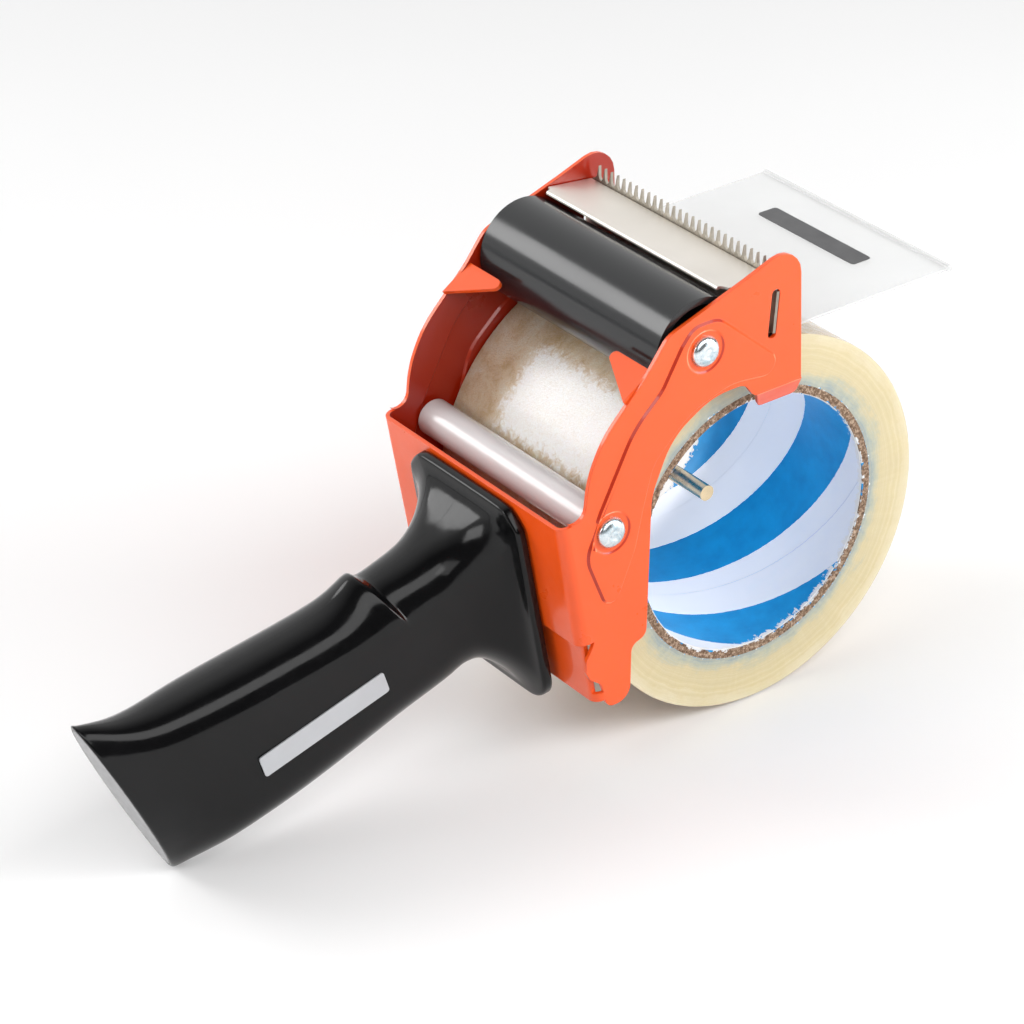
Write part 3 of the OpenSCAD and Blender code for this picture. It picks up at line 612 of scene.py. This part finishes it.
def make_handle():
    """The grip lofted from the butt to its root, then flared on to the flange."""
    butt_top, butt_low = (-196.2, -1.2), (-172.0, -55.0)
    butt_half = 9.0
    # top point, low point, half width, lens, lift, waist
    stations = [
        ((-195.4, -1.55), (-171.0, -54.95), 9.1, 1.0, 0, 0),
        ((-193.4, -2.2), (-168.9, -54.6), 9.35, 0.95, 0, 0),
        ((-190.5, -2.9), (-166.5, -54.0), 9.8, 0.85, 0, 0),
        ((-186.8, -3.9), (-162.3, -53.2), 10.2, 0.7, 0, 0),
        ((-183.0, -4.6), (-158.0, -52.2), 10.6, 0.5, 0, 0),
        ((-178.0, -4.8), (-153.0, -50.7), 11.0, 0.3, 0, 0),
        ((-173.0, -4.3), (-148.0, -49.0), 11.3, 0.15, 0, 0),
        ((-166.0, -3.1), (-140.0, -46.5), 11.7, 0.05, 0, 0),
        ((-158.0, -1.8), (-132.0, -44.0), 12.0, 0, 0, 0),
        ((-142.0, 0.5), (-116.0, -38.6), 12.0, 0, 0, 0),
        ((-131.0, 2.2), (-105.0, -34.5), 12.0, 0, 0, 0),
        ((-124.5, 3.3), (-98.8, -32.4), 12.0, 0, 0.1, 0),
        ((-119.2, 4.3), (-94.0, -30.9), 12.0, 0, 0.55, 0),
        ((-115.2, 5.4), (-90.4, -29.8), 12.0, 0, 1.5, -0.1),
        ((-112.4, 6.2), (-88.0, -29.0), 12.0, 0, 2.55, -0.2),
        ((-110.6, 6.8), (-86.5, -28.5), 12.0, 0, 3.2, -0.3),
        ((-109.2, 7.2), (-85.4, -28.1), 12.0, 0, 3.6, -0.3),
        ((-108.2, 7.4), (-84.6, -27.8), 12.0, 0, 3.65, -0.3),
        ((-107.7, 7.5), (-84.3, -27.7), 12.0, 0, 3.3, -0.2),
        ((-107.0, 7.6), (-83.8, -27.4), 12.0, 0, 0.9, 0.8),
        ((-106.2, 7.7), (-83.3, -27.2), 12.0, 0, 0.1, 1.0),
        ((-103.0, 8.4), (-82.0, -26.6), 12.0, 0, 0, 0.7),
        ((-99.6, 9.3), (-80.7, -26.1), 12.1, 0, 0, 0.3),
        ((-96.4, 10.15), (-79.2, -25.9), 12.3, 0, 0, 0.1),
    ]
    # the recess for the cap, its thin rim and the rim's rounded outside
    rim = ((1.25, -2.05), (1.22, -0.3), (1.0, 0.0), (0.45, 0.0), (0.08, -0.35))
    rings = [grip_ring(butt_top, butt_low, butt_half, 1.0, shrink=shrink, out=out)
             for shrink, out in rim]
    rings += [grip_ring(*station) for station in stations]
    root = grip_ring((-93.6, 11.0), (-77.8, -25.8), 12.7)
    rings.append(root)
    toe = flange_ring(1.3, FLANGE_T)
    steps, leave, arrive = 9, 1.35, 1.25
    along = Vector((0.94, 0, 0.33)).normalized()
    low_along = Vector((0.98, 0, 0.04)).normalized()
    mid_z = AZ - 7 * MM
    blend = 15 * MM
    for k in range(1, steps):
        ring = []
        for p0, p1 in zip(root, toe):
            d = p1 - p0
            run = d.dot(-BACK)
            flat = d + BACK * run
            upper = step(-blend, blend, p0.z - mid_z)
            lead = (along * upper + low_along * (1 - upper)).normalized()
            ring.append(hermite(p0, p1, lead * run * leave, flat * arrive, k / steps))
        rings.append(ring)
    rings += [toe, flange_ring(0.55, FLANGE_T - 0.12), flange_ring(0.12, FLANGE_T - 0.6),
              flange_ring(0.0, FLANGE_T - 1.2), flange_ring(0.0, 0.5), flange_ring(0.05, 0.06)]
    bm = bmesh.new()
    rows = skin(bm, rings)
    bm.faces.new(rows[0])
    bm.faces.new(rows[-1])
    o = new_object("handle_moulding", bm, "black")
    s = o.modifiers.new("smooth", "SUBSURF")
    s.levels = s.render_levels = 1
    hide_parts("handle")
    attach(o, "dispenser")


make_handle()


# ================================================================ axles with riveted heads
def lathe(name, profile, centre, mat, steps=64):
    """Turn (y, r) pairs in mm about a line along Y through centre."""
    bm = bmesh.new()
    rings = []
    for y, r in profile:
        rings.append([Vector((centre.x + r * MM * math.cos(2 * math.pi * i / steps), y * MM,
                              centre.z + r * MM * math.sin(2 * math.pi * i / steps)))
                      for i in range(steps)])
    rows = skin(bm, rings)
    bm.faces.new(rows[0])
    bm.faces.new(rows[-1])
    return new_object(name, bm, mat)


def make_axle(node):
    """A rod upset into a low dome at each end, with the punch's ring in the dome."""
    rod = 2.5
    low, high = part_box(node)
    centre = (low + high) / 2
    end = high.y / MM
    head = (high.x - low.x) / 2 / MM
    dome = [(end - 0.10, 0.12), (end - 0.10, 0.9), (end - 0.22, 1.15), (end - 0.04, 1.45),
            (end, 1.9), (end - 0.06, 2.5), (end - 0.30, 3.2), (end - 0.75, 3.85),
            (end - 1.3, head - 0.08), (end - 1.7, head), (end - 2.1, head), (end - 2.2, head - 0.1),
            (end - 2.25, rod), (end - 2.5, rod)]
    profile = [(-y, r) for y, r in dome] + list(reversed(dome))
    o = lathe(node + "_turned", profile, centre, "zinc")
    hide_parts(node)
    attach(o, "dispenser")


for name in ("press_axle", "guide_axle"):
    make_axle(name)


# ================================================================ folded sheet with soft edges
# mm: the plates' outer faces from the middle, the raised panels' height, the sheet
PLATE_Y, EMBOSS, SHEET = 41.0, 0.8, 1.2


def draft_emboss(bm):
    """Turn the stepped edge of the raised panels into the soft slope that a press draws."""
    # each ring of the step, moved this far sideways and outwards, in mm
    rings = {"low": (0.75, 0.0), "low_top": (0.12, -0.2), "high_foot": (0.1, 0.2),
             "high": (-0.35, 0.0)}
    near = 0.02
    moves = {}
    for f in bm.faces:
        if abs(f.normal.y) > 0.3:
            continue
        ys = [abs(v.co.y) / MM for v in f.verts]
        for base, way in ((PLATE_Y, 1), (PLATE_Y - SHEET, -1)):
            mid = base + EMBOSS / 2
            for foot, top, names in ((base, mid, ("low", "low_top")),
                                     (mid, base + EMBOSS, ("high_foot", "high"))):
                if abs(min(ys) - foot) > near or abs(max(ys) - top) > near:
                    continue
                for v, y in zip(f.verts, ys):
                    name = names[0] if abs(y - foot) < near else names[1]
                    entry = moves.setdefault(v, [Vector(), name])
                    entry[0] += f.normal * (f.calc_area() * way)
    for v, (n, name) in moves.items():
        n.y = 0
        if n.length == 0:
            continue
        sideways, up = rings[name]
        v.co += n.normalized() * (sideways * MM)
        v.co.y += math.copysign(up * MM, v.co.y)


def pressed_frame():
    """The CAD frame's shape again, with its edges rolled over as a press leaves them."""
    snap, weld, sliver, same_plane = 0.04 * MM, 0.012 * MM, 0.1 * MM, math.radians(0.6)
    big_face = 20 * MM ** 2
    bm = bmesh.new()
    bm.from_mesh(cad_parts["frame"].data)
    for v in bm.verts:
        for level in (PLATE_Y * MM, (PLATE_Y - SHEET) * MM):
            if abs(abs(v.co.y) - level) < snap:
                v.co.y = math.copysign(level, v.co.y)
    bmesh.ops.remove_doubles(bm, verts=bm.verts, dist=weld)
    bmesh.ops.dissolve_degenerate(bm, dist=sliver, edges=bm.edges)
    bm.normal_update()
    draft_emboss(bm)
    bmesh.ops.dissolve_limit(bm, angle_limit=same_plane, verts=bm.verts, edges=bm.edges)
    o = new_object("frame_pressed", bm, "paint")
    for f in o.data.polygons:
        f.use_smooth = abs(f.normal.y) < 0.9995 or f.area < big_face
    bev = o.modifiers.new("soft_edge", "BEVEL")
    bev.width = 0.3 * MM
    bev.segments = 2
    bev.limit_method = "ANGLE"
    bev.angle_limit = math.radians(28)
    flat = o.modifiers.new("flat_faces", "WEIGHTED_NORMAL")
    flat.weight = 100
    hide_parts("frame")
    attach(o, "dispenser")


pressed_frame()


# ================================================================ floor, light, camera
def floor():
    """A plain pale ground, just below the object's lowest point."""
    half = 6
    me = bpy.data.meshes.new("floor")
    me.from_pydata([(-half, -half, 0), (half, -half, 0), (half, half, 0), (-half, half, 0)], [],
                   [(0, 1, 2, 3)])
    o = bpy.data.objects.new("floor", me)
    o.location.z = -0.5 * MM
    scene.collection.objects.link(o)
    m, nt, b = new_mat("floor_white")
    v = coords(nt)
    nt.links.new(ramp(nt, noise(nt, v, 3, 2), [(0.3, grey(0.93)), (0.7, grey(0.95))]),
                 b.inputs["Base Color"])
    b.inputs["Roughness"].default_value = 0.7
    b.inputs["Specular IOR Level"].default_value = 0.1
    me.materials.append(m)


floor()

# the sky is brighter behind the object than in front of it
world = bpy.data.worlds.new("studio")
scene.world = world
world.use_nodes = True
wt = world.node_tree
sky = wt.nodes["Background"]
sky.inputs["Color"].default_value = (1, 1, 1, 1)
look = wt.nodes.new("ShaderNodeTexCoord")
split = wt.nodes.new("ShaderNodeSeparateXYZ")
wt.links.new(look.outputs["Generated"], split.inputs[0])
sweep = wt.nodes.new("ShaderNodeMapRange")
sweep.inputs["From Min"].default_value = -0.1
sweep.inputs["From Max"].default_value = 0.55
sweep.inputs["To Min"].default_value = 0.09
sweep.inputs["To Max"].default_value = 1.05
wt.links.new(split.outputs[1], sweep.inputs["Value"])
wt.links.new(sweep.outputs["Result"], sky.inputs["Strength"])


def softbox(name, aim, distance, size, power, size_y=None):
    """A rectangular light in direction aim from the dispenser, facing it; sizes in metres."""
    target = Vector((0, 0, 70 * MM))
    loc = target + Vector(aim).normalized() * distance
    d = bpy.data.lights.new(name, "AREA")
    d.energy = power
    d.size = size
    if size_y:
        d.shape = "RECTANGLE"
        d.size_y = size_y
    o = bpy.data.objects.new(name, d)
    o.location = loc
    o.rotation_euler = (target - loc).to_track_quat("-Z", "Y").to_euler()
    scene.collection.objects.link(o)


softbox("front_key", (0.1, -0.64, 0.76), 1.25, 1.6, 8.5, 0.55)
softbox("right_front", (0.72, -0.66, 0.24), 1.3, 0.7, 11, 0.7)
softbox("back_left", (-0.52, 0.70, 0.50), 1.25, 0.6, 5, 0.5)
softbox("camera_side", (-0.45, -0.72, 0.50), 1.35, 0.6, 2, 0.6)
softbox("left", (-0.95, 0.1, 0.42), 1.3, 0.5, 3.5, 0.5)
scene.view_settings.view_transform = "Standard"
scene.view_settings.look = "None"

# a long lens from behind the handle, above and on the open side
cam_d = bpy.data.cameras.new("camera")
cam = bpy.data.objects.new("camera", cam_d)
scene.collection.objects.link(cam)
cam_d.sensor_width = 36
cam_d.lens = 137.1
right = Vector((0.8109, -0.5843, -0.0333))
up = Vector((0.317, 0.3907, 0.8642))
right.normalize()
up = (up - right * up.dot(right)).normalized()
back = right.cross(up)
cam.matrix_world = Matrix.Translation(at(-572.9, -743.6, 535.9)) @ Matrix(
    (right, up, back)).transposed().to_4x4()
cam_d.clip_start, cam_d.clip_end = 0.05, 20
scene.camera = cam
